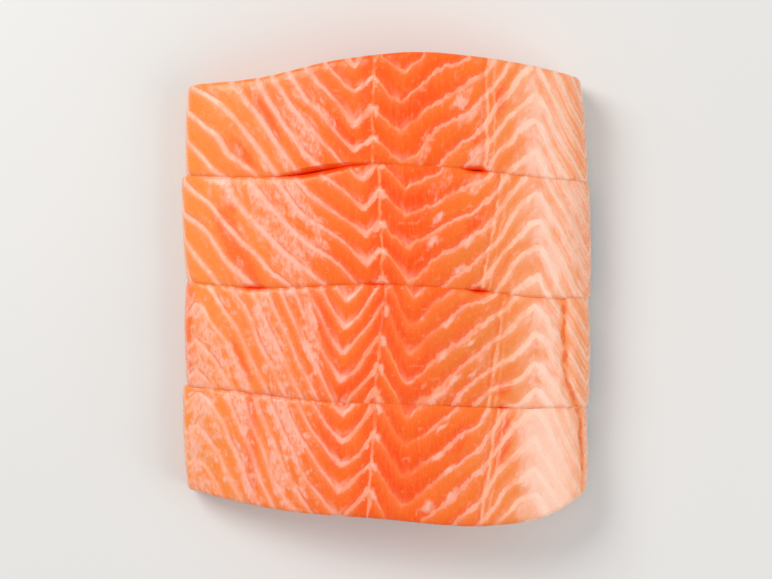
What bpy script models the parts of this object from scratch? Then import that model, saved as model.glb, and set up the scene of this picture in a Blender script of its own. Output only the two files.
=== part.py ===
"""Raw salmon fillet section, lying on its skin and cut across into four portions.

X runs across the fillet, from the thin belly edge (-X) to the thick back edge (+X).
Y runs along the fish, from the head end (+Y) to the tail end (-Y).
Z is up. The skin side rests flat at Z = 0, and the origin is the middle of the base.
Lengths are in metres, and MM turns a length written in millimetres into metres.
"""

import math

import bmesh
import bpy
import numpy as np

MM = 0.001

# Gap between neighbouring portions, just open enough to keep their faces apart
CUT_GAP = 0.4 * MM

# Height of the flesh above the skin side, from the belly edge to the back edge
THICKNESS = [
    (-70 * MM, 9.5 * MM),
    (-60 * MM, 14.8 * MM),
    (-45 * MM, 19.0 * MM),
    (-30 * MM, 22.2 * MM),
    (-15 * MM, 24.6 * MM),
    (0 * MM, 26.1 * MM),
    (20 * MM, 26.9 * MM),
    (42 * MM, 25.4 * MM),
    (55 * MM, 22.6 * MM),
    (64 * MM, 18.2 * MM),
    (70 * MM, 12.0 * MM),
]

# Lines across the fillet in plan: its two ends and the three knife cuts between them
HEAD_END = [
    (-70 * MM, 69.0 * MM),
    (-44 * MM, 70.7 * MM),
    (-16 * MM, 76.4 * MM),
    (13 * MM, 78.5 * MM),
    (46 * MM, 75.0 * MM),
    (70 * MM, 70.0 * MM),
]
FIRST_CUT = [
    (-70 * MM, 38.5 * MM),
    (-34 * MM, 37.9 * MM),
    (-8 * MM, 41.5 * MM),
    (20 * MM, 40.6 * MM),
    (54 * MM, 37.0 * MM),
    (70 * MM, 36.3 * MM),
]
SECOND_CUT = [
    (-70 * MM, 2.6 * MM),
    (-46 * MM, 0.4 * MM),
    (-2 * MM, 1.6 * MM),
    (30 * MM, -0.5 * MM),
    (54 * MM, -3.1 * MM),
    (70 * MM, -2.6 * MM),
]
THIRD_CUT = [
    (-70 * MM, -33.0 * MM),
    (-47 * MM, -34.8 * MM),
    (-28 * MM, -37.0 * MM),
    (15 * MM, -38.7 * MM),
    (42 * MM, -39.7 * MM),
    (70 * MM, -39.9 * MM),
]
TAIL_END = [
    (-70 * MM, -67.3 * MM),
    (-36 * MM, -74.0 * MM),
    (0 * MM, -76.4 * MM),
    (36 * MM, -78.6 * MM),
    (55 * MM, -75.6 * MM),
    (70 * MM, -67.0 * MM),
]
LINES = [HEAD_END, FIRST_CUT, SECOND_CUT, THIRD_CUT, TAIL_END]

# Where the flesh gapes along each line: centre in X, half length, and opening at the surface
GAPES = [
    [],
    [(-24 * MM, 17 * MM, 1.7 * MM), (30 * MM, 6 * MM, 1.8 * MM)],
    [(-44 * MM, 7 * MM, 1.4 * MM), (-3 * MM, 6 * MM, 0.6 * MM), (31 * MM, 5 * MM, 1.5 * MM)],
    [(-38 * MM, 10 * MM, 0.6 * MM), (22 * MM, 4 * MM, 0.5 * MM), (39 * MM, 4 * MM, 0.7 * MM)],
    [],
]
GAPE_DEPTH_POWER = 1.5

# Belly and back edges of each portion in X, each at its head side and its tail side
BELLY_EDGES = [
    (-67.4 * MM, -68.6 * MM),
    (-70.0 * MM, -68.1 * MM),
    (-68.5 * MM, -68.1 * MM),
    (-69.6 * MM, -67.9 * MM),
]
BACK_EDGES = [
    (66.8 * MM, 69.0 * MM),
    (69.5 * MM, 70.0 * MM),
    (69.4 * MM, 69.8 * MM),
    (69.2 * MM, 68.6 * MM),
]
EDGE_BARREL = 0.5 * MM

# How far the side walls stand in from their widest, at the base and at the shoulder
BELLY_UNDERCUT, BELLY_SHOULDER = 1.6 * MM, 1.2 * MM
BACK_UNDERCUT, BACK_SHOULDER = 5.5 * MM, 1.8 * MM
WIDEST_SHARE = 0.45

# Soft knife edges round each portion's top, and its slight crown from cut to cut
EDGE_ROUND = 1.0 * MM
CROWN = 0.6 * MM

# Muscle flakes. Each pair is a place in X, in millimetres, and how many flakes lie between
# the first one and that place on the portion's middle line. A seam runs wherever the count
# is a whole number: down from the pin bone line to the bottom of a V, then up to the edge.
FLAKE_RELIEF = 0.5 * MM
FLAKE_MIDDLES = [57.8 * MM, 18.3 * MM, -18.3 * MM, -55.6 * MM]
PIN_BONE_LINES = [-4.3 * MM, -1.6 * MM, -2.0 * MM, -3.6 * MM]
BELLY_COUNTS = [
    [(-69, 6.3), (-55, 5.25), (-44.5, 4.3), (-33.5, 2.6), (-21.5, 1.05), (-10.6, -0.2), (-4.3, 0.3)],
    [(-69, 6.8), (-56.5, 5.6), (-36.5, 3.65), (-25, 2.55), (-12.7, 1.5), (-6.6, 0.95), (-1.6, 1.5)],
    [(-69, 8.7), (-64.5, 9.2), (-58.5, 8.55), (-48, 7.1), (-36.5, 4.9), (-25, 2.6), (-14.2, 0.7), (-2, 2.35)],
    [(-69, 12.5), (-64, 12.8), (-59, 12.4), (-48, 10.6), (-36.5, 8.1), (-25, 6.0), (-14, 4.6), (-3.6, 5.8)],
]
BACK_COUNTS = [
    [(-4.3, 0.3), (5.2, -0.55), (15.3, 0.3), (33.2, 1.75), (40, 2.8), (50, 3.75), (58.5, 2.2), (70, 0.0)],
    [(-1.6, 1.5), (7, 0.5), (17.4, 1.2), (34.5, 2.45), (42.5, 3.75), (51.2, 4.5), (57.6, 3.35), (70, 1.0)],
    [(-2, 2.35), (8, 0.7), (15.3, 1.35), (33.2, 2.85), (44.3, 3.8), (50, 4.35), (57.6, 3.4), (70, 1.1)],
    [(-3.6, 5.8), (7, 4.4), (17.4, 5.2), (31.8, 6.4), (39.7, 7.7), (49.7, 8.6), (58.5, 7.1), (70, 4.3)],
]

# Distance from seam to seam along the fish: a place in X and the pitch, in millimetres
FLAKE_PITCH = [(-70, 10.6), (-50, 11.6), (-22, 8.9), (-4, 9.6), (20, 9.8), (36, 8.2), (50, 9.4), (70, 8.6)]

# Crease along the back, from the second cut down to where it runs off the back edge
CREASE = [(-52 * MM, 69.0 * MM), (-40 * MM, 64.2 * MM), (-29 * MM, 60.6 * MM), (-3 * MM, 59.2 * MM)]
CREASE_DEPTH = 1.1 * MM
CREASE_HALF_WIDTH = 2.4 * MM

# Grid of each portion: columns across the fillet, rows along it and layers up its sides
COLUMNS, ROWS = 56, 15
LAYER_SHARES = [0.0, 0.16, 0.42, 0.75, 1.0]
EDGE_STEP = 0.6 * MM
SECOND_STEP = 1.9 * MM

FLESH_COLOURS = [
    (0.95, 0.30, 0.12, 1.0),
    (0.96, 0.33, 0.15, 1.0),
    (0.94, 0.29, 0.11, 1.0),
    (0.95, 0.32, 0.14, 1.0),
]
FLESH_ROUGHNESS = 0.35


def smooth_curve(points, scale=1.0):
    """A function that runs smoothly through (x, y) points and stays level past its ends."""
    xs = np.array([x for x, _ in points]) * scale
    ys = np.array([y for _, y in points])
    slopes = np.gradient(ys, xs)

    def at(x):
        x = min(max(x, xs[0]), xs[-1])
        left = min(int(np.searchsorted(xs, x, side="right")), len(xs) - 1) - 1
        step = xs[left + 1] - xs[left]
        t = (x - xs[left]) / step
        rise = (3 - 2 * t) * t * t
        leave = slopes[left] * step * t * (1 - t) ** 2
        arrive = slopes[left + 1] * step * t * t * (1 - t)
        return float(ys[left] + rise * (ys[left + 1] - ys[left]) + leave - arrive)

    return at


THICKNESS_AT = smooth_curve(THICKNESS)
LINES_AT = [smooth_curve(line) for line in LINES]
BELLY_COUNTS_AT = [smooth_curve(counts, MM) for counts in BELLY_COUNTS]
BACK_COUNTS_AT = [smooth_curve(counts, MM) for counts in BACK_COUNTS]
FLAKE_PITCH_AT = smooth_curve([(x, pitch * MM) for x, pitch in FLAKE_PITCH], MM)
CREASE_AT = smooth_curve(CREASE)


def bump(distance, half_width):
    """1 at no distance, falling smoothly to 0 at half_width."""
    if abs(distance) >= half_width:
        return 0.0
    return math.cos(0.5 * math.pi * distance / half_width) ** 2


def gape(line, x):
    """Half of the opening at the surface along one line across the fillet."""
    return 0.5 * sum(opening * bump(x - centre, half) for centre, half, opening in GAPES[line])


def flake_height(portion, x, y):
    """Each flake is crowned, and the seam round it is sunk."""
    side = BELLY_COUNTS_AT if x < PIN_BONE_LINES[portion] else BACK_COUNTS_AT
    count = side[portion](x) + (FLAKE_MIDDLES[portion] - y) / FLAKE_PITCH_AT(x)
    return FLAKE_RELIEF * (1 - abs(math.cos(math.pi * count)) ** 3)


def crease_depth(x, y):
    """Depth of the crease along the back at a place in plan."""
    low, high = CREASE[0][0], CREASE[-1][0]
    if not low < y < high:
        return 0.0
    return CREASE_DEPTH * bump(x - CREASE_AT(y), CREASE_HALF_WIDTH)


def edge_drop(distance):
    """How far a rounded edge has fallen at a distance in from the wall."""
    outward = min(max(1 - distance / EDGE_ROUND, 0.0), 1.0)
    return EDGE_ROUND * (1 - math.sqrt(1 - outward**2))


def wall_inset(share, undercut, shoulder):
    """How far a side wall stands in from its widest, at a share of its height."""
    if share < WIDEST_SHARE:
        return undercut * (1 - share / WIDEST_SHARE) ** 2
    return shoulder * ((share - WIDEST_SHARE) / (1 - WIDEST_SHARE)) ** 2


def grid_shares(length, count):
    """Places of count + 1 grid lines along a length, as shares, with two close to each end."""
    inner = np.linspace(SECOND_STEP, length - SECOND_STEP, count - 3)
    return np.array([0.0, EDGE_STEP, *inner, length - EDGE_STEP, length]) / length


def portion_point(portion, across, along, up):
    """A point of the portion from its shares of the way to the back, the head and the top."""
    belly_head, belly_tail = BELLY_EDGES[portion]
    back_head, back_tail = BACK_EDGES[portion]
    barrel = EDGE_BARREL * 4 * along * (1 - along)
    belly = belly_tail + (belly_head - belly_tail) * along - barrel
    back = back_tail + (back_head - back_tail) * along + barrel
    belly += wall_inset(up, BELLY_UNDERCUT, BELLY_SHOULDER)
    back -= wall_inset(up, BACK_UNDERCUT, BACK_SHOULDER)
    x = belly + (back - belly) * across
    half_gap = 0.5 * CUT_GAP
    head = LINES_AT[portion](x) - half_gap - gape(portion, x) * up**GAPE_DEPTH_POWER
    tail = LINES_AT[portion + 1](x) + half_gap + gape(portion + 1, x) * up**GAPE_DEPTH_POWER
    y = tail + (head - tail) * along
    top = THICKNESS_AT(x) + CROWN * 4 * along * (1 - along)
    top += flake_height(portion, x, y) - crease_depth(x, y)
    top -= edge_drop(min(x - belly, back - x, y - tail, head - y))
    return x, y, top * up


def flesh_material(name, colour):
    material = bpy.data.materials.new(name)
    material.use_nodes = True
    shader = material.node_tree.nodes["Principled BSDF"]
    shader.inputs["Base Color"].default_value = colour
    shader.inputs["Roughness"].default_value = FLESH_ROUGHNESS
    shader.inputs["Metallic"].default_value = 0.0
    return material


def gridded_cube(counts):
    """A unit cube from 0 to 1 with a grid on its top and sides, and one face for its base."""
    bm = bmesh.new()
    bmesh.ops.create_cube(bm, size=1.0)
    bmesh.ops.translate(bm, verts=bm.verts, vec=(0.5, 0.5, 0.5))
    for axis, count in enumerate(counts):
        edges = [e for e in bm.edges if abs(e.verts[0].co[axis] - e.verts[1].co[axis]) > 0.5]
        bmesh.ops.subdivide_edges(bm, edges=edges, cuts=count - 1, use_grid_fill=True)
    base = [f for f in bm.faces if max(v.co.z for v in f.verts) < 0.5 / counts[2]]
    bmesh.ops.dissolve_faces(bm, faces=base)
    return bm


def make_portion(portion, collection):
    """One portion: a gridded cube whose points are moved to the cut flesh's surface."""
    name = f"portion_{portion + 1}"
    layers = len(LAYER_SHARES) - 1
    width = BACK_EDGES[portion][0] - BELLY_EDGES[portion][0]
    depth = LINES_AT[portion](0.0) - LINES_AT[portion + 1](0.0)
    columns = grid_shares(width, COLUMNS)
    rows = grid_shares(depth, ROWS)
    bm = gridded_cube((COLUMNS, ROWS, layers))
    for vert in bm.verts:
        across = columns[round(vert.co.x * COLUMNS)]
        along = rows[round(vert.co.y * ROWS)]
        up = LAYER_SHARES[round(vert.co.z * layers)]
        vert.co = portion_point(portion, across, along, up)
    bmesh.ops.recalc_face_normals(bm, faces=bm.faces)
    mesh = bpy.data.meshes.new(name)
    bm.to_mesh(mesh)
    bm.free()
    mesh.shade_smooth()
    mesh.materials.append(flesh_material(f"{name}_flesh", FLESH_COLOURS[portion]))
    piece = bpy.data.objects.new(name, mesh)
    collection.objects.link(piece)
    return piece


def centre_on_base(pieces):
    """Moves the meshes together so that the middle of their common box is at X = Y = 0."""
    places = np.array([v.co for piece in pieces for v in piece.data.vertices])
    middle = (places.min(axis=0) + places.max(axis=0)) / 2
    for piece in pieces:
        for vert in piece.data.vertices:
            vert.co.x -= middle[0]
            vert.co.y -= middle[1]


for old in list(bpy.data.objects):
    bpy.data.objects.remove(old)
fillet = bpy.data.collections.new("raw_salmon_fillet")
bpy.context.scene.collection.children.link(fillet)
centre_on_base([make_portion(portion, fillet) for portion in range(len(LINES) - 1)])
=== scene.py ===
import bpy
import numpy as np
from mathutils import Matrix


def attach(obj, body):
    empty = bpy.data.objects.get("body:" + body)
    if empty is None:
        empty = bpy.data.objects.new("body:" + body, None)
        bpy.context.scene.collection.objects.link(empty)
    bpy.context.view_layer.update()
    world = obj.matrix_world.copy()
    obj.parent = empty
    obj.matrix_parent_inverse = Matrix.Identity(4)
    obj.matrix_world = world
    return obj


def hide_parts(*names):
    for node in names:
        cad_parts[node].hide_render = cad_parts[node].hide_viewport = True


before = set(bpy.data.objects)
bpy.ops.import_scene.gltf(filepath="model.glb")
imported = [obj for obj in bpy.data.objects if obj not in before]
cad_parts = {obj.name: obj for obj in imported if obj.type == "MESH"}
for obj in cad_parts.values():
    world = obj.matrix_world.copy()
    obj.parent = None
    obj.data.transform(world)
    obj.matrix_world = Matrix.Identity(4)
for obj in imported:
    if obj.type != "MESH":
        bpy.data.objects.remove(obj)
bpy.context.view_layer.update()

# Portions, their shape
# Raw salmon fillet, cut across with a knife into four portions that lie close together on
# their skin. Each is the solid made fine, with flakes like shingles, seams and bone ends.

MM = 0.001
PORTIONS = ["portion_1", "portion_2", "portion_3", "portion_4"]

# Places and sizes are in millimetres: x across the fillet from the belly edge to the back,
# y along the fish towards the head. Lists go from the first portion to the last.

# y of each portion's middle line, x of its line of pin bones, and its flakes, as pairs: x, and
# how many flakes lie between the first one and there on the middle line
FLAKE_MIDDLES = [57.8, 18.3, -18.3, -55.6]
PIN_BONE_LINES = [-4.3, -1.6, -2.0, -4.6]
BELLY_COUNTS = [
    [(-69, 6.3), (-55, 5.25), (-44.5, 4.3), (-33.5, 2.6), (-21.5, 1.05), (-10.6, -0.2), (-4.3, 0.3)],
    [(-69, 6.8), (-56.5, 5.6), (-36.5, 3.65), (-25, 2.55), (-12.7, 1.5), (-6.6, 0.95), (-1.6, 1.5)],
    [(-69, 8.7), (-64.5, 9.2), (-58.5, 8.55), (-48, 7.1), (-36.5, 4.9), (-25, 2.6), (-14.2, 0.7), (-2, 2.35)],
    [(-69, 12.5), (-64, 12.8), (-59, 12.4), (-48, 10.6), (-36.5, 8.1), (-25, 6.0), (-15, 4.6), (-4.6, 5.8)],
]
BACK_COUNTS = [
    [(-4.3, 0.3), (5.2, -0.55), (15.3, 0.3), (33.2, 1.75), (40, 2.8), (50, 3.75), (58.5, 2.2), (70, 0.0)],
    [(-1.6, 1.5), (7, 0.5), (17.4, 1.2), (34.5, 2.45), (42.5, 3.75), (51.2, 4.5), (57.6, 3.35), (70, 1.0)],
    [(-2, 2.35), (8, 0.7), (15.3, 1.35), (33.2, 2.85), (44.3, 3.8), (50, 4.35), (57.6, 3.4), (70, 1.1)],
    [(-4.6, 5.8), (6, 4.4), (17.4, 5.2), (31.8, 6.4), (39.7, 7.7), (49.7, 8.6), (58.5, 7.1), (70, 4.3)],
]
# The flakes' length along the fish, as pairs of x and length
FLAKE_PITCH = [(-70, 10.6), (-50, 11.6), (-22, 8.9), (-4, 9.6), (20, 9.8), (36, 8.2), (50, 9.4), (70, 8.6)]
# How much of each bend in the flakes is a sharp corner
CORNERS = 0.5
# Where the flakes' low corners lie across each portion, and how strongly they are marked
TIPS = [(-10.6, 5.2), (-6.6, 7), (-14.2, 8), (-15, 6)]
TIP_STRENGTHS = (1.0, 0.5)
TIP_REACH = 2.6
# How far the corners move across the fillet for each step along the fish, around one place
SLANTS = [0.0, -0.04, 0.1, 0.07]
SLANT_MIDDLE = -5
SLANT_REACH = 25
# Below the surface the flakes lean towards the head, by this many at the skin
LEAN_FLAKES = 3.0
LEAN_POWER = 1.3
# Height of the surface, as pairs of x and height, to tell how deep a point lies
SURFACE = [(-70, 9.5), (-60, 14.8), (-30, 22.2), (0, 26.1), (20, 26.9), (42, 25.4), (55, 22.6), (70, 12.0)]

# The seam that runs along the fish in each portion: x and y of its two ends
UPRIGHTS = [
    ((34.2, 78), (33.4, 40)),
    ((38.5, 36), (32.4, 2)),
    ((39.5, -2), (34.0, -38)),
    ((37.6, -40), (31.8, -76)),
]
# The crease along the back edge of the last two portions, as pairs of y and x
CREASE = [(-78, 68.0), (-66, 67.0), (-52, 66.4), (-40, 64.2), (-29, 60.6), (-16, 59.8), (-3, 59.2)]
CREASED_PORTIONS = (2, 3)

# Pale connective tissue over the flesh: x, y, reach across, and reach along in flakes
PALE_PATCHES = [
    [(-27, 52, 5, 0.7), (-21, 59, 4, 0.4), (-35, 44, 4, 0.35), (25, 65, 3.5, 0.25), (28, 59.5, 4, 0.25),
     (12, 46, 4, 0.3), (30, 43, 4, 0.5), (50, 62, 6, 1.2), (50, 46, 6, 1.0)],
    [(-31, 31, 6, 0.5), (-33, 14, 7, 0.9), (-55, 36, 3, 0.3), (-38, 22, 8, 0.8), (30, 35, 3.5, 0.3),
     (17, 35, 4, 0.3), (-24, 14, 4, 0.5), (-26, 24, 5, 0.5), (52, 29, 5, 0.7), (54, 12, 6, 0.9),
     (64, 20, 5, 2.5)],
    [(-56, -26, 4, 0.5), (-40, -14, 5, 0.8), (-36, -24, 6, 0.9), (-48, -30, 5, 0.5), (-25, -18, 3, 1.0),
     (16, -35, 5, 0.4), (-62, -12, 4, 0.4), (-64, -28, 5, 2.0), (53, -14, 6, 1.2), (54, -30, 6, 1.4)],
    [(-61, -41, 4, 0.5), (-49, -42, 4, 0.5), (-34, -47, 5, 0.9), (-36, -62, 5, 0.8), (-64, -47, 5, 1.5),
     (-65, -55, 6, 1.4), (-62, -70, 6, 1.0), (-46, -66, 4, 0.5), (52, -46, 9, 1.8), (54, -62, 9, 2.4)],
]
# Deeper orange flesh, given the same way
DEEP_PATCHES = [
    [(-40, 58, 6, 0.4), (-48, 46, 5, 0.3), (-14, 50, 7, 0.6), (8, 60, 9, 0.7), (30, 52, 3, 0.4),
     (38, 62, 2.5, 0.6)],
    [(-53, 30, 3, 0.3), (-53, 20, 6, 0.7), (-50, 12, 6, 0.65), (-46, 5, 6, 0.5), (6, 26, 11, 1.2),
     (6, 8, 11, 1.2), (30, 24, 4, 0.5)],
    [(-20, -12, 5, 0.7), (-12, -30, 6, 0.8), (3, -14, 8, 1.2), (7, -30, 9, 1.2), (39, -33, 3, 0.4),
     (-67, -20, 2.0, 3.0), (-48.5, -24, 4, 0.35)],
    [(-45.5, -50, 3, 2.2), (-18, -52, 6, 0.9), (4, -62, 9, 1.2), (39, -50, 3.5, 1.0), (24, -50, 4, 0.5)],
]
# Torn white bits of seam, given the same way
TORN_BITS = [
    [(25, 63, 2.4, 0.22), (-41, 41.5, 2.0, 0.15)],
    [(-54.5, 36, 2.5, 0.2), (15.6, 16, 2.4, 0.24), (27.5, 16.5, 2.4, 0.18), (17.5, 25, 1.6, 0.14),
     (24, 7.5, 2.0, 0.16)],
    [(21, -11, 2.2, 0.13), (19, -22.4, 2.0, 0.13), (28.4, -16.7, 2.0, 0.1), (22.7, -30, 2.4, 0.13),
     (29, -28, 2.0, 0.1), (25.6, -35, 2.6, 0.13), (16, -35, 3.0, 0.12), (-24.6, -9, 2.0, 0.3),
     (-25.6, -20, 2.0, 0.3), (33, -12, 1.4, 0.1)],
    [(33, -41.8, 2.0, 0.16), (17, -55, 2.2, 0.13), (21, -60, 2.2, 0.13), (14, -72, 2.8, 0.22),
     (21, -69, 2.4, 0.18), (19, -45, 2.2, 0.1), (-61, -40, 2.0, 0.25), (-49, -42, 2.0, 0.3),
     (-33, -44, 2.0, 0.3)],
]
# Where the seams hardly show: x, y and reach in x and y
PLAIN_FLESH = [[], [], [(9, -11, 13, 10)], [(6, -57, 8, 17)]]
# Duller, browner flesh, given the same way, and its strength
DULL_FLESH = [(27, -20, 15, 17, 1.0), (29, 9, 9, 8, 0.8)]

# The three cuts, and the gapes where the portions stand apart: x of the middle, half width and
# how open they are
CUTS = [38.5, 0.0, -39.5]
CUT_REACH = 8
GAPES = [
    [(-20.5, 21, 1.2), (30, 7, 0.9)],
    [(-44, 7, 0.7), (-3, 6, 0.75), (31, 5, 0.9)],
    [(-38, 14, 0.4), (22, 4, 0.4), (39, 4, 0.7)],
]
# A gape's two walls come together between these depths below the surface
GAPE_WALLS = (3.36, 0.56)
# A gape narrows to its ends between these many half widths from its middle
GAPE_TAPER = (1.3, 0.3)
# Its painted shade spreads wider than its opening, and sets in from this depth on, over this reach
GAPE_SPREAD = 1.5
GAPE_SHADE_DEPTH = 0.3
GAPE_SHADE_REACH = 1.5
# How far the cut faces move towards each other: everywhere, where they touch, back where they
# stand apart, at the bottom of a gape, and, with its x and reach, in the middle of each cut and
# of the last one
CUT_FACE_PUSH = 0.18
CUT_FACE_OVERLAP = 0.30
GAPE_OPENING = 0.45
GAPE_CLOSING = 0.5
MIDDLE_CLOSING = (0.3, 8, 15)
LAST_CUT_CLOSING = (0.4, -2, 22)

# Making a solid fine: the size of its faces, the rounding of its edges, and the smoothing of
# the top and the back edge, where each point's share is one of a few levels
FACE_SIZE = 0.45
ROUNDING_STEPS = 14
TOP_SMOOTHING_STEPS = 60
SMOOTHING_LEVELS = 8
# Faces get more of it between these shares of their direction up, back and along the fish
TOP_SLOPES = (0.84, 0.94)
BACK_SLOPES = (0.2, 0.4)
END_SLOPES = (0.4, 0.2)

# How many flakes a millimetre holds is measured over this step, and stays between these
SLOPE_STEP = 0.4
CROWDING_LIMITS = (0.03, 0.6)
# Wander of the seams, in flakes, and the size of its bends
WANDER = 0.16
WANDER_SIZE = 9
# Fray of the seams, a finer wander in flakes, with the size of its bends, which are longer along
# the fish by one over FRAY_ALONG, and its share at each x
FRAY = 0.06
FRAY_SIZE = 1.7
FINE_FRAY_SIZE = 0.9
FINE_FRAY_SHARE = 0.6
FRAY_ALONG = 0.3
FRAY_SHARES = [(-70, 0.25), (-20, 0.5), (5, 1.0), (40, 1.0), (70, 0.5)]
# Lumps of the surface, and of the lines that wander over it: height, size and seed
SURFACE_LUMPS = [(0.30, 14, 1), (0.12, 5.5, 2), (0.03, 2.2, 3), (0.02, 1.1, 4)]
UPRIGHT_LUMPS = [(0.6, 6, 14), (0.35, 1.8, 15)]
CREASE_LUMPS = [(0.6, 5, 16), (0.15, 1.8, 19)]
MIDLINE_LUMPS = [(0.6, 4, 23), (0.35, 1.5, 24)]
DULL_LUMPS = [(0.5, 6, 17)]
SKIN_LUMPS = [(0.12, 3, 18)]
BONE_END_LUMPS = [(0.7, 1.1, 21)]
TORN_LUMPS = [(0.6, 1.0, 22)]
# How strong dull flesh is before its lumps
DULL_STRENGTH = 0.7
# Ragged spots: how much their closeness counts against their lumps, and where they turn on
BONE_END_EDGE = (1.5, 0.4, 0.4 + 1 / 1.5)
TORN_EDGE = (1.3, 0.45, 0.45 + 1 / 1.1)
# Heights of the relief, and its widths
SHINGLE = 0.38
SHINGLE_FOOT = 0.9
SEAM_RIDGE = 0.06
SEAM_RIDGE_WIDTH = 0.6
BONE_END_HEIGHT = 0.4
BONE_END_RADIUS = 0.9
BONE_END_STRETCH = 2
BONE_END_OFFSET = 1.2
BONE_END_FLAKES = range(-4, 16)
TORN_HEIGHT = 0.16
CREASE_DEPTH = 0.35
CREASE_WIDTH = 1.3
CREASE_SLOPES = (0.12, 0.52)
UPRIGHT_HEIGHT = 0.14
UPRIGHT_WIDTH = 0.6
FURROW_DEPTH = 0.22
FURROW_WIDTH = 0.8
FURROW_OFFSET = 1.3
# Faces count as cut from this share of their direction along the fish on, and such faces keep
# this share of the relief. All relief fades out from this height down to the floor
CUT_FACE_START = 0.4 / 1.4
CUT_FACE_RELIEF = 0.25
FLAT_BASE = 1.5
# How high the skin comes up round the back edge, and how far in that starts
BACK_TUCK_HEIGHT = 5.0
BACK_TUCK_REACH = 5.5
# The back edge is looked for in rows this far apart, each with the points this near to it
ROW_STEP = 2
ROW_REACH = 1.5

# A turn about an odd axis, so that the lumps don't line up with the portions
ASKEW = np.array([[0.74, -0.52, 0.43], [0.60, 0.79, -0.09], [-0.29, 0.33, 0.90]])


def rise(value, start, end):
    """From 0 at the start to 1 at the end, straight between them."""
    return np.clip((value - start) / (end - start), 0, 1)


def near(distance, reach):
    """1 at no distance, falling to little past the reach."""
    return np.exp(-((distance / reach) ** 2))


def within(distance, reach):
    """The same, but flat to nearly the reach and with a steeper fall."""
    return np.exp(-((distance / reach) ** 4))


def smooth_curve(points, places):
    """Values at the places of a curve that runs smoothly through (x, y) points."""
    xs, ys = np.array(points, float).T
    slopes = np.gradient(ys, xs)
    places = np.clip(places, xs[0], xs[-1])
    left = np.clip(np.searchsorted(xs, places, side="right") - 1, 0, len(xs) - 2)
    step = xs[left + 1] - xs[left]
    t = (places - xs[left]) / step
    value = ys[left] + (3 - 2 * t) * t * t * (ys[left + 1] - ys[left])
    value += slopes[left] * step * t * (1 - t) ** 2
    return value - slopes[left + 1] * step * t * t * (1 - t)


def part_smooth_curve(points, places):
    """The same with its bends drawn partly towards corners, as flakes have them."""
    xs, ys = np.array(points, float).T
    return CORNERS * np.interp(places, xs, ys) + (1 - CORNERS) * smooth_curve(points, places)


def unslanted(portion, x, y):
    """x as it is on the portion's middle line, for points where the flakes' corners slant."""
    return x - SLANTS[portion] * (y - FLAKE_MIDDLES[portion]) * near(x - SLANT_MIDDLE, SLANT_REACH)


def flake_count(portion, x, y, z):
    """How many flakes lie between the first one and points inside a portion."""
    x = unslanted(portion, x, y)
    belly = part_smooth_curve(BELLY_COUNTS[portion], x)
    back = part_smooth_curve(BACK_COUNTS[portion], x)
    count = np.where(x < PIN_BONE_LINES[portion], belly, back)
    surface = smooth_curve(SURFACE, x)
    depth = np.clip((surface - z) / surface, 0, 1)
    lean = LEAN_FLAKES * depth**LEAN_POWER
    return count + (FLAKE_MIDDLES[portion] - y) / smooth_curve(FLAKE_PITCH, x) + lean


def lumps(points, size, seed):
    """Smooth random heights from -1 to 1 over points, with bumps of one size."""
    cell = np.floor(points / size).astype(np.int64)
    t = points / size - cell
    t = t * t * (3 - 2 * t)
    total = np.zeros(len(points))
    for corner in np.ndindex(2, 2, 2):
        # Large odd numbers scatter the cells, so that each corner gets its own height
        key = (cell + corner) @ np.array([73856093, 19349663, 83492791]) + seed * 2654435761
        key = (key ^ (key >> 13)) * 1274126177 & 0x7FFFFFFF
        height = ((key ^ (key >> 16)) & 0xFFFF) / 32767.5 - 1
        share = np.prod(np.where(corner, t, 1 - t), axis=1)
        total += height * share
    return total


def layered_lumps(points, layers):
    """Lumps of several heights and sizes together."""
    return sum(height * lumps(points, size, seed) for height, size, seed in layers)


def ragged_spots(points, closeness, layers, edge):
    """From 0 to 1, and high in spots with ragged outlines."""
    share, start, end = edge
    return rise(share * closeness + layered_lumps(points, layers), start, end)


def along_flakes(portion, x, count, places):
    """From 0 to 1 and high near places, spread further along the flakes than across them."""
    closeness = np.zeros(len(x))
    for at_x, at_y, reach, reach_in_flakes in places:
        at_count = flake_count(portion, at_x, at_y, smooth_curve(SURFACE, at_x))
        here = near(x - at_x, reach) * near(count - at_count, reach_in_flakes)
        closeness = np.maximum(closeness, here)
    return closeness


def read_vectors(items, field):
    """The three numbers of one field for all items, one row each."""
    values = np.empty(len(items) * 3, np.float32)
    items.foreach_get(field, values)
    return values.reshape(-1, 3).astype(float)


def smooth(piece, steps, group=""):
    """Evens out a mesh, or the part of it in a vertex group."""
    soften = piece.modifiers.new("soften", "SMOOTH")
    soften.factor = 0.5
    soften.iterations = steps
    soften.vertex_group = group
    bpy.ops.object.modifier_apply(modifier=soften.name)


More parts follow.
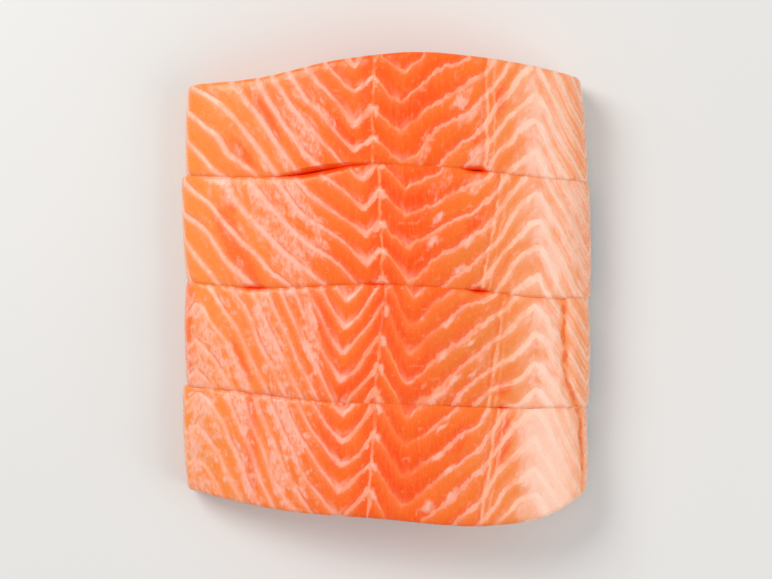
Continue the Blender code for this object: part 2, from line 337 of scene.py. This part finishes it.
def fine_copy(name, node):
    """A closed mesh of small even faces over a copy of a node's solid, its top made smooth."""
    piece = bpy.data.objects.new(name, node.data.copy())
    bpy.context.scene.collection.objects.link(piece)
    piece.data.materials.clear()
    bpy.ops.object.select_all(action="DESELECT")
    piece.select_set(True)
    bpy.context.view_layer.objects.active = piece
    bpy.ops.object.mode_set(mode="EDIT")
    bpy.ops.mesh.select_all(action="SELECT")
    bpy.ops.mesh.remove_doubles(threshold=0.01 * MM)
    bpy.ops.object.mode_set(mode="OBJECT")
    even = piece.modifiers.new("even", "REMESH")
    even.mode = "VOXEL"
    even.voxel_size = FACE_SIZE * MM
    bpy.ops.object.modifier_apply(modifier=even.name)
    smooth(piece, ROUNDING_STEPS)

    across, along, up = read_vectors(piece.data.vertex_normals, "vector").T
    back_edge = rise(across, *BACK_SLOPES) * rise(np.abs(along), *END_SLOPES)
    levels = np.round(np.maximum(rise(up, *TOP_SLOPES), back_edge) * SMOOTHING_LEVELS)
    top = piece.vertex_groups.new(name="top")
    for level in range(1, SMOOTHING_LEVELS + 1):
        top.add(np.flatnonzero(levels == level).tolist(), level / SMOOTHING_LEVELS, "REPLACE")
    smooth(piece, TOP_SMOOTHING_STEPS, top.name)
    piece.vertex_groups.clear()
    bpy.ops.object.shade_smooth()
    return piece


def flakes_at(portion, points, normals):
    """The flake count at points with the seams' wander, and the flakes to a millimetre there."""
    slope = np.empty((len(points), 3))
    for axis in range(3):
        shift = np.zeros((3, 1))
        shift[axis] = SLOPE_STEP
        ahead = flake_count(portion, *(points.T + shift))
        behind = flake_count(portion, *(points.T - shift))
        slope[:, axis] = (ahead - behind) / (2 * SLOPE_STEP)
    slope -= (slope * normals).sum(axis=1)[:, None] * normals
    crowding = np.clip(np.linalg.norm(slope, axis=1), *CROWDING_LIMITS)

    fray = FRAY * smooth_curve(FRAY_SHARES, points[:, 0])
    stretched = points * [1, FRAY_ALONG, 1]
    count = flake_count(portion, *points.T) + WANDER * lumps(points, WANDER_SIZE, seed=11)
    count += fray * lumps(stretched, FRAY_SIZE, seed=12)
    count += FINE_FRAY_SHARE * fray * lumps(stretched, FINE_FRAY_SIZE, seed=13)
    return count, crowding


def bone_ends_at(portion, points, straight_x):
    """From 0 to 1, and high at the cut ends of the pin bones, one to each flake."""
    at_x = PIN_BONE_LINES[portion] + BONE_END_OFFSET
    line_count = smooth_curve(BACK_COUNTS[portion], at_x)
    line_pitch = smooth_curve(FLAKE_PITCH, at_x)
    closeness = np.zeros(len(points))
    for whole in BONE_END_FLAKES:
        at_y = FLAKE_MIDDLES[portion] + (line_count - whole) * line_pitch
        away = np.hypot(straight_x - at_x, (points[:, 1] - at_y) / BONE_END_STRETCH)
        closeness += near(away, BONE_END_RADIUS)
    return ragged_spots(points, closeness, BONE_END_LUMPS, BONE_END_EDGE)


def past_upright(portion, points):
    """How far points lie past the seam that runs along the fish."""
    (top_x, top_y), (low_x, low_y) = UPRIGHTS[portion]
    line_x = low_x + (top_x - low_x) * (points[:, 1] - low_y) / (top_y - low_y)
    return points[:, 0] - line_x + layered_lumps(points, UPRIGHT_LUMPS)


def crease_at(points, up):
    """From 0 to 1, and high in the crease along the back edge."""
    x, y = points[:, :2].T
    away = x - smooth_curve(CREASE, y) + layered_lumps(points, CREASE_LUMPS)
    return near(away, CREASE_WIDTH) * rise(up, *CREASE_SLOPES)


def gapes_at(points):
    """How far the cut faces stand apart at the surface, from 0 to about 1."""
    x, y = points[:, :2].T
    apart = np.zeros(len(points))
    for cut_y, gapes in zip(CUTS, GAPES):
        beside_cut = np.abs(y - cut_y) < CUT_REACH
        for at_x, half_width, openness in gapes:
            here = rise(np.abs(x - at_x) / half_width, *GAPE_TAPER) * beside_cut
            apart = np.maximum(apart, here * openness)
    return apart


def cut_face_push(points, apart, near_gape, depth):
    """How far a cut face moves out, to close on the next portion or to form a gape."""
    x, y = points[:, :2].T
    apart = apart * rise(depth, *GAPE_WALLS)
    push = CUT_FACE_PUSH + CUT_FACE_OVERLAP * (1 - apart) - GAPE_OPENING * apart * apart
    push += GAPE_CLOSING * (1 - apart) * near_gape
    last_cut = np.abs(y - CUTS[2]) < CUT_REACH
    strength, at_x, reach = MIDDLE_CLOSING
    push += strength * (1 - near_gape) * near(x - at_x, reach)
    strength, at_x, reach = LAST_CUT_CLOSING
    return push + strength * (1 - near_gape) * within(x - at_x, reach) * last_cut


def height_over_skin(points):
    """How far points lie above the skin, which comes up round the back edge."""
    x, y, z = points.T
    rows = np.arange(y.min() + ROW_STEP / 2, y.max(), ROW_STEP)
    back_x = np.interp(y, rows, [x[np.abs(y - row) < ROW_REACH].max() for row in rows])
    tuck = np.sqrt(rise(back_x - x, 0, BACK_TUCK_REACH))
    return z - BACK_TUCK_HEIGHT * (1 - tuck) + layered_lumps(points, SKIN_LUMPS)


def relief(piece, portion):
    """Raises the flakes, seams and bone ends, and stores where all marks lie for the material."""
    mesh = piece.data
    points = read_vectors(mesh.vertices, "co") / MM
    normals = read_vectors(mesh.vertex_normals, "vector")
    x, y, z = points.T
    straight_x = unslanted(portion, x, y)
    depth = smooth_curve(SURFACE, x) - z
    facing_up = np.clip(normals[:, 2], 0, 1)
    cut_face = rise(np.abs(normals[:, 1]), CUT_FACE_START, 1)

    count, crowding = flakes_at(portion, points, normals)
    share = count - np.floor(count)
    seam = np.minimum(share, 1 - share) / crowding
    bone_ends = bone_ends_at(portion, points, straight_x) * facing_up
    torn_near = along_flakes(portion, x, count, TORN_BITS[portion])
    torn = ragged_spots(points, torn_near, TORN_LUMPS, TORN_EDGE) * facing_up
    upright = past_upright(portion, points)
    crease = crease_at(points, normals[:, 2]) if portion in CREASED_PORTIONS else np.zeros(len(x))
    apart = gapes_at(points)
    near_gape = np.clip(apart * GAPE_SPREAD, 0, 1)
    # Painted shade inside the gapes, deeper further down
    gape_shade = near_gape * np.clip((depth - GAPE_SHADE_DEPTH) / GAPE_SHADE_REACH, 0, 2)

    dull = sum(near(x - at_x, reach_x) * near(y - at_y, reach_y) * strength
               for at_x, at_y, reach_x, reach_y, strength in DULL_FLESH)
    plain = np.zeros(len(x))
    for at_x, at_y, reach_x, reach_y in PLAIN_FLESH[portion]:
        plain = np.maximum(plain, within(x - at_x, reach_x) * within(y - at_y, reach_y))
    tips = np.zeros(len(x))
    for tip_x, strength in zip(TIPS[portion], TIP_STRENGTHS):
        tips = np.maximum(tips, strength * near(straight_x - tip_x, TIP_REACH))

    height = SHINGLE * (0.5 - share) * rise(seam, 0, SHINGLE_FOOT)
    height += SEAM_RIDGE * near(seam, SEAM_RIDGE_WIDTH)
    height += layered_lumps(points @ ASKEW, SURFACE_LUMPS)
    height += BONE_END_HEIGHT * bone_ends + TORN_HEIGHT * torn - CREASE_DEPTH * crease
    height += UPRIGHT_HEIGHT * near(upright, UPRIGHT_WIDTH) * facing_up
    height -= FURROW_DEPTH * near(upright + FURROW_OFFSET, FURROW_WIDTH) * facing_up
    height *= (1 - (1 - CUT_FACE_RELIEF) * cut_face) * rise(z, 0, FLAT_BASE)
    moved = points + normals * height[:, None]
    push = cut_face_push(points, apart, near_gape, depth) * cut_face
    moved[:, 1] += normals[:, 1] * push * rise(moved[:, 2], 0, FLAT_BASE)
    mesh.vertices.foreach_set("co", (moved * MM).astype(np.float32).ravel())

    marks = {
        "flakes": count,
        "crowding": crowding,
        "upright": upright,
        "midline": straight_x - PIN_BONE_LINES[portion] + layered_lumps(points, MIDLINE_LUMPS),
        "tips": tips,
        "bone_ends": bone_ends,
        "torn": torn,
        "torn_near": torn_near,
        "crease": crease,
        "gape": gape_shade,
        "pale_patches": along_flakes(portion, moved[:, 0], count, PALE_PATCHES[portion]),
        "deep_patches": along_flakes(portion, moved[:, 0], count, DEEP_PATCHES[portion]),
        "dull": dull * (DULL_STRENGTH + layered_lumps(points, DULL_LUMPS)),
        "plain": plain,
        "bumpy": np.maximum(facing_up, cut_face),
        "above_skin": height_over_skin(points),
    }
    for name, values in marks.items():
        layer = mesh.attributes.new(name, "FLOAT", "POINT")
        layer.data.foreach_set("value", values.astype(np.float32))
    mesh.update()


portions = []
for portion, node_name in enumerate(PORTIONS):
    piece = fine_copy(f"salmon_{node_name}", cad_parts[node_name])
    relief(piece, portion)
    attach(piece, "root")
    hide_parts(node_name)
    portions.append(piece)

# Flesh and skin, their finish
# Moist orange muscle in flakes, with pale pink seams of connective tissue between them and
# pale fat towards the back. Underneath is the skin, over it a white and a brown layer.


class Wire:
    """A socket in a material, for sums written in Python."""

    def __init__(self, finish, socket):
        self.finish, self.socket = finish, socket

    def sum(self, operation, *others):
        inputs = dict(enumerate((self, *others)))
        return self.finish.node("ShaderNodeMath", {"operation": operation}, inputs)

    def size(self):
        return self.sum("ABSOLUTE")

    def __add__(self, other):
        return self.sum("ADD", other)

    def __sub__(self, other):
        return self.sum("SUBTRACT", other)

    def __mul__(self, other):
        return self.sum("MULTIPLY", other)

    def __truediv__(self, other):
        return self.sum("DIVIDE", other)

    def __rsub__(self, other):
        return self.finish.node("ShaderNodeMath", {"operation": "SUBTRACT"}, {0: other, 1: self})

    __radd__ = __add__
    __rmul__ = __mul__


class Finish:
    """A material, and the one method that adds a node to it."""

    def __init__(self, name, constants):
        self.material = bpy.data.materials.new(name)
        self.material.use_nodes = True
        self.tree = self.material.node_tree
        self.shader = self.tree.nodes["Principled BSDF"]
        for socket, value in constants.items():
            self.shader.inputs[socket].default_value = value

    def node(self, kind, settings, inputs, output=0):
        node = self.tree.nodes.new(kind)
        for name, value in settings.items():
            if name == "stops":
                ramp = node.color_ramp
                while len(ramp.elements) < len(value):
                    ramp.elements.new(0.5)
                for element, (place, colour) in zip(ramp.elements, value):
                    element.position = place
                    element.color = colour
            else:
                setattr(node, name, value)
        for name, value in inputs.items():
            if isinstance(value, Wire):
                self.tree.links.new(value.socket, node.inputs[name])
            else:
                node.inputs[name].default_value = value
        return Wire(self, node.outputs[output])

    def attribute(self, name):
        return self.node("ShaderNodeAttribute", {"attribute_name": name}, {}, "Fac")

    def noise(self, place, size, detail=2.0, roughness=0.5):
        """Noise from 0 to 1 whose features are about one size, in metres."""
        inputs = {"Vector": place, "Scale": 1 / size, "Detail": detail, "Roughness": roughness}
        return self.node("ShaderNodeTexNoise", {}, inputs, "Fac")

    def stretched(self, place, share):
        """A place whose patterns run long along the fish, by one over the share."""
        return self.node("ShaderNodeMapping", {}, {"Vector": place, "Scale": (1.0, share, 1.0)})

    def fade(self, value, start, end, low=0.0, high=1.0):
        """low where value is at start or before, high where it is at end or past it."""
        inputs = {"Value": value, 1: start, 2: end, 3: low, 4: high}
        return self.node("ShaderNodeMapRange", {"interpolation_type": "SMOOTHSTEP"}, inputs)

    def blend(self, share, first, second):
        return self.node("ShaderNodeMix", {"data_type": "RGBA"}, {0: share, 6: first, 7: second}, 2)

    def ramp(self, value, stops):
        return self.node("ShaderNodeValToRGB", {"stops": stops}, {"Fac": value}, "Color")

    def give(self, socket, wire):
        self.tree.links.new(wire.socket, self.shader.inputs[socket])


def srgb(red, green, blue):
    """A colour as seen on a screen, from 0 to 255, made linear."""
    linear = [
        part / 255 / 12.92 if part < 10 else ((part / 255 + 0.055) / 1.055) ** 2.4
        for part in (red, green, blue)
    ]
    return (*linear, 1.0)


# Ramps run across the fillet from minus to plus this place, in millimetres
RAMP_HALF = 72


def over_width(values):
    """Ramp stops from values or colours at places across the fillet, in millimetres."""
    stops = []
    for place, value in values:
        colour = value if isinstance(value, tuple) else (value, value, value, 1.0)
        stops.append(((place + RAMP_HALF) / (2 * RAMP_HALF), colour))
    return stops


flesh = Finish("moist_salmon_flesh", {
    "Subsurface Weight": 0.15,
    "Subsurface Radius": (1.0, 0.3, 0.12),
    "Subsurface Scale": 1.2 * MM,
    "Coat Weight": 0.2,
    "Coat Roughness": 0.2,
    "Specular IOR Level": 0.22,
})

# Where a point lies, also as x, y and z in millimetres, the marks stored there, and noise of
# several sizes, of which the strokes run along the flakes
spot = flesh.node("ShaderNodeTexCoord", {}, {}, "Object")
spot_x = flesh.node("ShaderNodeSeparateXYZ", {}, {0: spot}, 0) / MM
spot_y = flesh.node("ShaderNodeSeparateXYZ", {}, {0: spot}, 1) / MM
spot_z = flesh.node("ShaderNodeSeparateXYZ", {}, {0: spot}, 2) / MM
flakes = flesh.attribute("flakes")
crowding = flesh.attribute("crowding")
upright = flesh.attribute("upright")
midline = flesh.attribute("midline")
tips = flesh.attribute("tips")
bone_ends = flesh.attribute("bone_ends")
torn = flesh.attribute("torn")
torn_near = flesh.attribute("torn_near")
crease = flesh.attribute("crease")
gape = flesh.attribute("gape")
pale_patches = flesh.attribute("pale_patches")
deep_patches = flesh.attribute("deep_patches")
dull = flesh.attribute("dull")
plain = flesh.attribute("plain")
not_plain = 1 - plain
bumpy = flesh.attribute("bumpy")
above_skin = flesh.attribute("above_skin")
coarse = flesh.noise(spot, 9 * MM)
middle = flesh.noise(spot, 3 * MM, detail=3.0)
grain = flesh.noise(spot, 1.3 * MM, detail=3.0, roughness=0.65)
fine = flesh.noise(spot, 0.6 * MM, roughness=0.6)
fibres = flesh.noise(flesh.stretched(spot, 0.16), 0.75 * MM)
ripples = flesh.noise(flesh.stretched(spot, 0.4), 0.8 * MM)
flake_spot = flesh.node("ShaderNodeCombineXYZ", {}, {0: spot_x * 0.6, 1: flakes * 6, 2: spot_z * 0.3})
strokes = flesh.noise(flake_spot, 1.8)
across = (spot_x + RAMP_HALF) / (2 * RAMP_HALF) + (coarse - 0.5) * 0.05

# Regions of the fillet, from 0 to 1: its belly towards the tail, the flesh beside the line of
# pin bones and on it, the lobes that seams have towards the back, and the deep orange centre
tail_belly = flesh.fade(spot_y, 2, -3) * flesh.fade(spot_x, -10, -26)
beside_midline = flesh.fade(midline, -11, -6) * flesh.fade(midline, 0.8, -0.8)
at_midline = flesh.fade((midline + 0.9).size(), 2.4, 0.4) * not_plain
lobes = flesh.fade(spot_x, 10, 18) * flesh.fade(spot_x, 38, 32) * flesh.fade(middle, 0.45, 0.62)
centre = flesh.ramp(across, over_width([
    (-30, 0.0), (-14, 0.7), (4, 1.0), (26, 1.0), (34, 0.3), (44, 0.0),
]))

# Where each seam runs: how far away it is on either side, how fat it is, which gives half its
# width, and how soft its edge, in millimetres
share = flakes.sum("FRACT")
below_seam = share / crowding
above_seam = (1 - share) / crowding
seam = below_seam.sum("MINIMUM", above_seam)
fat = flesh.ramp(across, over_width([
    (-70, 0.45), (-45, 0.48), (-25, 0.38), (-12, 0.26), (5, 0.22), (30, 0.32), (50, 0.7), (70, 0.4),
]))
half_width = fat * (1 - tail_belly * 0.4) * 1.5
softness = flesh.ramp(across, over_width([
    (-70, 1.3), (-30, 1.0), (-10, 0.45), (30, 0.4), (50, 0.7), (70, 0.5),
]))

# Seams are ragged at the flakes' low corners, in the lobes and near the line of pin bones, and
# fainter here and there
ragged = tips * 0.35 + lobes * 0.5 + beside_midline * flesh.fade(middle, 0.38, 0.6, 0.05, 0.3)
ragged = ragged + at_midline * flesh.fade(middle, 0.4, 0.58, 0.1, 0.6)
past_seam = (seam - half_width - ragged - (grain - 0.5) * 0.9) / softness
seam_strength = flesh.fade(coarse * 0.4 + strokes * 0.6, 0.33, 0.55, 0.35, 1.0)
seam_strength = seam_strength * (1 - tail_belly * 0.3) * (1 - dull * 0.35) * (1 - plain * 0.88)
seam_line = flesh.fade(past_seam, 0.55, -0.45) * seam_strength

# Colours of the flesh between the seams and of the seams, from the belly edge to the back edge
one_flake = {"W": flakes.sum("FLOOR")}
flake_tone = flesh.node("ShaderNodeTexWhiteNoise", {"noise_dimensions": "1D"}, one_flake, "Value")
muscle = flesh.ramp(across + (flake_tone - 0.5) * 0.06, over_width([
    (-70, srgb(248, 146, 64)),
    (-56, srgb(251, 140, 64)),
    (-38, srgb(250, 130, 56)),
    (-20, srgb(250, 114, 34)),
    (-4, srgb(250, 94, 9)),
    (12, srgb(248, 96, 10)),
    (28, srgb(246, 120, 40)),
    (42, srgb(244, 138, 66)),
    (52, srgb(248, 152, 94)),
    (70, srgb(244, 148, 84)),
]))
seam_colour = flesh.ramp(across, over_width([
    (-70, srgb(252, 188, 160)),
    (-52, srgb(252, 178, 150)),
    (-38, srgb(252, 182, 160)),
    (-24, srgb(252, 178, 156)),
    (-12, srgb(250, 158, 122)),
    (5, srgb(250, 136, 74)),
    (24, srgb(248, 162, 132)),
    (40, srgb(252, 186, 154)),
    (52, srgb(252, 210, 188)),
    (70, srgb(250, 190, 156)),
]))
deep = srgb(250, 70, 0)
light = srgb(252, 130, 56)
pale = srgb(250, 184, 163)

# Deeper and duller patches, painted shade in the hollow just before each seam of the centre with a stronger
# rim of it, painted light on the rise just past each seam, and fibres
deep_share = flesh.fade(deep_patches + (middle - 0.5) * 0.7, 0.15, 0.85, 0.0, 0.7)
deep_share = deep_share * flesh.fade(spot_x, -36, -12, 0.7, 1.0)
colour = flesh.blend(deep_share, muscle, deep)
colour = flesh.blend(dull * 0.7, colour, srgb(226, 126, 58))
colour = flesh.blend(flesh.fade(above_seam, 4.5, 0.9) * centre * 0.45, colour, deep)
centre_seam_shade = flesh.fade((above_seam - 0.9).size(), 0.7, 0.1) * centre * 0.5
colour = flesh.blend(centre_seam_shade, colour, srgb(238, 66, 4))
colour = flesh.blend(flesh.fade(below_seam, 4.5, 0.5) * centre * 0.3, colour, light)
colour = flesh.blend(flesh.fade(fibres, 0.42, 0.66, 0.0, 0.25), colour, light)
colour = flesh.blend(flesh.fade(fine, 0.5, 0.3, 0.0, 0.2), colour, deep)

# Membrane, a broken pale haze of connective tissue, mostly in its patches and on the belly
membrane_zone = flesh.ramp(across, over_width([
    (-66, 0.15), (-50, 0.33), (-36, 0.24), (-26, 0.25), (-15, 0.0), (8, 0.0), (32, 0.2),
]))
haze = pale_patches * 0.5 + torn_near * 0.5 + membrane_zone * 0.5
haze = haze + (coarse - 0.5) * 0.9 + (strokes - 0.5) * 1.1
haze = haze + tail_belly * ((middle - 0.5) * 1.2 + 0.03)
holes = flesh.fade(ripples * 0.6 + middle * 0.4, 0.38, 0.6, 0.2, 0.85)
membrane = flesh.fade(haze, 0.14, 0.6) * holes
membrane = membrane * flesh.fade(pale_patches + torn_near + membrane_zone, 0.08, 0.25)
colour = flesh.blend(membrane, colour, pale)

# Crest, where pale fat lies in the flakes towards the back, and thin streaks at its edge
crest = flesh.ramp(across, over_width([(42, 0.0), (47, 0.4), (57, 0.5), (64, 0.3), (71, 0.2)]))
crest_fat = flesh.fade(share, 0.85, 0.05) * crest * (strokes + 0.3)
fat_patches = pale_patches * 0.6 + strokes * 0.5 + coarse * 0.5
crest_fat = crest_fat + flesh.fade(fat_patches, 0.7, 1.1) * crest
tail_crest = flesh.fade(spot_y, -30, -46) * flesh.fade(spot_x + coarse * 6, 45.5, 48.5)
crest_fat = crest_fat + tail_crest * crest * 0.9
colour = flesh.blend(crest_fat.sum("MINIMUM", 0.88), colour, srgb(252, 202, 178))
thirds = (flakes * 3 + (strokes - 0.5) * 0.9).sum("FRACT")
streaks = flesh.fade(thirds.sum("MINIMUM", 1 - thirds) / crowding / 3, 0.55, 0.15)
back_edge = flesh.ramp(across, over_width([(44, 0.0), (52, 0.15), (60, 0.6), (70, 0.6)]))
streaks = streaks * back_edge * flesh.fade(coarse, 0.35, 0.6)
colour = flesh.blend(streaks, colour, srgb(250, 200, 172))

# Seams, with painted shadow in a thin rim above them on the belly side, deep pockets under them by the line
# of pin bones, a faint halo, and pale marks at the flakes' low corners
belly_seam_shadow = flesh.fade((above_seam - half_width - 0.5).size(), 0.6, 0.1)
belly_seam_shadow = belly_seam_shadow * flesh.fade(spot_x, 4, -8) * flesh.fade(coarse, 0.48, 0.62) * 0.6
colour = flesh.blend(belly_seam_shadow, colour, srgb(232, 88, 24))
pocket = flesh.fade((midline + 2.2).size(), 3.2, 0.6) * flesh.fade(below_seam, 5.0, 1.5) * not_plain
colour = flesh.blend(pocket * 0.6, colour, srgb(250, 80, 4))
colour = flesh.blend(flesh.fade(seam - half_width, 1.8, 0.0, 0.0, 0.22), colour, seam_colour)
colour = flesh.blend(seam_line, colour, seam_colour)
pale_tips = flesh.fade(above_seam, 3.4, 0.8) * tips * not_plain
pale_tips = pale_tips * flesh.fade(strokes, 0.34, 0.54, 0.05, 0.65)
colour = flesh.blend(pale_tips, colour, pale)

# The seam along the fish, a broken double line with painted shade in the furrow beside it, and the crease,
# painted darker as shade and darkest at its bottom
upright_line = flesh.fade(upright.size() - grain * 0.5, 0.45, -0.05)
second_line = flesh.fade((upright - 2.3).size() - middle * 0.7, 0.3, -0.2, 0.0, 0.6)
unbroken = flesh.fade(coarse * 0.5 + middle * 0.5, 0.38, 0.56, 0.1, 0.8)
furrow_shade = flesh.fade((upright + FURROW_OFFSET).size(), 1.4, 0.3, 0.0, 0.5) * middle
colour = flesh.blend(furrow_shade, colour, srgb(232, 90, 26))
colour = flesh.blend(upright_line.sum("MAXIMUM", second_line) * unbroken, colour, srgb(252, 182, 146))
colour = flesh.blend(flesh.fade(crease, 0.1, 0.8, 0.0, 0.7), colour, srgb(244, 132, 52))
crease_bottom_shade = flesh.fade(crease + (middle - 0.5) * 1.4, 0.7, 1.0, 0.0, 0.8)
colour = flesh.blend(crease_bottom_shade, colour, srgb(232, 100, 22))

# The line of pin bones, paler towards the tail, seams that cross it, with a knot at each low
# corner, and then the bone ends and the torn bits of seam
thin_line = flesh.fade(midline.size() - middle * 0.8, 0.3, -0.15)
thin_line = thin_line * flesh.fade(coarse, 0.4, 0.55, 0.15, 0.6) * not_plain
line_colour = flesh.blend(flesh.fade(spot_y, 10, -10), srgb(252, 164, 110), srgb(252, 178, 142))
colour = flesh.blend(thin_line, colour, line_colour)
colour = flesh.blend(seam_line * beside_midline * 0.5, colour, srgb(250, 146, 108))
colour = flesh.blend(seam_line * at_midline * 0.6, colour, srgb(248, 174, 148))
knots = tips * tips * tips * flesh.fade(seam - fine, 0.8, 0.0) * flesh.fade(middle, 0.38, 0.58, 0.0, 0.7)
colour = flesh.blend(knots * not_plain, colour, srgb(248, 176, 150))
colour = flesh.blend(bone_ends * 0.8, colour, srgb(248, 178, 150))
colour = flesh.blend(torn * 0.7, colour, srgb(246, 184, 162))

# Walls of the gapes, with painted shade that is darkest at the bottom
colour = flesh.blend(flesh.fade(gape, 0.0, 0.9, 0.0, 0.9), colour, srgb(255, 78, 6))
colour = flesh.blend(flesh.fade(gape, 1.1, 2.0), colour, srgb(214, 50, 8))

# Skin with its scales, and a white and a brown layer over it at the cut faces
brown_band = flesh.fade(spot_x.size(), 30, 4, 1.4, 5.0)
brown = flesh.fade(above_skin - brown_band, 0.8, -0.6)
colour = flesh.blend(brown * 0.75, colour, srgb(178, 112, 88))
colour = flesh.blend(flesh.fade(above_skin, 1.9, 1.4), colour, srgb(248, 222, 200))
skin = flesh.fade(above_skin, 1.0, 0.8)
scale_width = 2.6 * MM
scales = flesh.node("ShaderNodeTexVoronoi", {}, {"Vector": spot, "Scale": 1 / scale_width}, "Distance")
skin_colour = flesh.ramp(across, over_width([
    (-70, srgb(206, 208, 206)),
    (-20, srgb(176, 180, 180)),
    (30, srgb(120, 128, 132)),
    (56, srgb(74, 84, 90)),
]))
skin_colour = flesh.blend(flesh.fade(scales, 0.25, 0.55, 0.0, 0.45), skin_colour, srgb(60, 68, 74))
flesh.give("Base Color", flesh.blend(skin, colour, skin_colour))
flesh.give("Roughness", flesh.fade(grain, 0.3, 0.7, 0.22, 0.36))

# Fine bumps of the fibres, the grain and the seams, fainter on the steep edges, and of scales
flesh_bumps = fibres * 0.4 + fine * 0.35 + grain * 0.6 + seam_line * 0.4
flesh_bumps = flesh_bumps * flesh.fade(bumpy, 0.35, 0.85, 0.1, 1.0) * (1 - skin)
bumps = {"Height": flesh_bumps - scales * skin * 1.5, "Strength": 0.5, "Distance": 0.15 * MM}
flesh.give("Normal", flesh.node("ShaderNodeBump", {}, bumps))
for piece in portions:
    piece.data.materials.append(flesh.material)

# Studio
# A plain pale floor, soft light from two sides and above, and a camera straight overhead.

FLOOR_SIZE = 4.0
CAMERA_HEIGHT = 0.74

bpy.ops.mesh.primitive_plane_add(size=FLOOR_SIZE, location=(0, 0, 0))
floor = bpy.context.object
floor.name = "floor"
paint = Finish("pale_floor", {"Roughness": 0.7, "Specular IOR Level": 0.2})
floor_spot = paint.node("ShaderNodeTexCoord", {}, {}, "Object")
floor_grain = paint.noise(floor_spot, 0.25, 2.0)
paint.give("Base Color", paint.blend(floor_grain, (0.74, 0.73, 0.715, 1), (0.78, 0.77, 0.755, 1)))
floor.data.materials.append(paint.material)


def soft_light(name, place, size, power, colour):
    """A square lamp at a place, turned towards the middle of the fillet."""
    data = bpy.data.lights.new(name, "AREA")
    data.size = size
    data.energy = power
    data.color = colour
    lamp = bpy.data.objects.new(name, data)
    lamp.location = place
    turn = (-lamp.location).to_track_quat("-Z", "Y")
    lamp.rotation_euler = turn.to_euler()
    bpy.context.scene.collection.objects.link(lamp)


soft_light("key_light", (-0.55, 0.50, 0.70), 0.50, 6.2, (1.0, 0.985, 0.96))
soft_light("fill_light", (0.75, -0.25, 0.55), 0.70, 3.3, (0.98, 0.99, 1.0))

world = bpy.data.worlds.new("studio")
bpy.context.scene.world = world
world.use_nodes = True
sky = world.node_tree.nodes["Background"]
sky.inputs["Color"].default_value = (1.0, 1.0, 1.0, 1.0)
sky.inputs["Strength"].default_value = 0.52

view = bpy.data.cameras.new("overhead_camera")
view.lens = 100
camera = bpy.data.objects.new("overhead_camera", view)
camera.location = (0, 0, CAMERA_HEIGHT)
bpy.context.scene.collection.objects.link(camera)
bpy.context.scene.camera = camera
bpy.context.scene.view_settings.view_transform = "Standard"
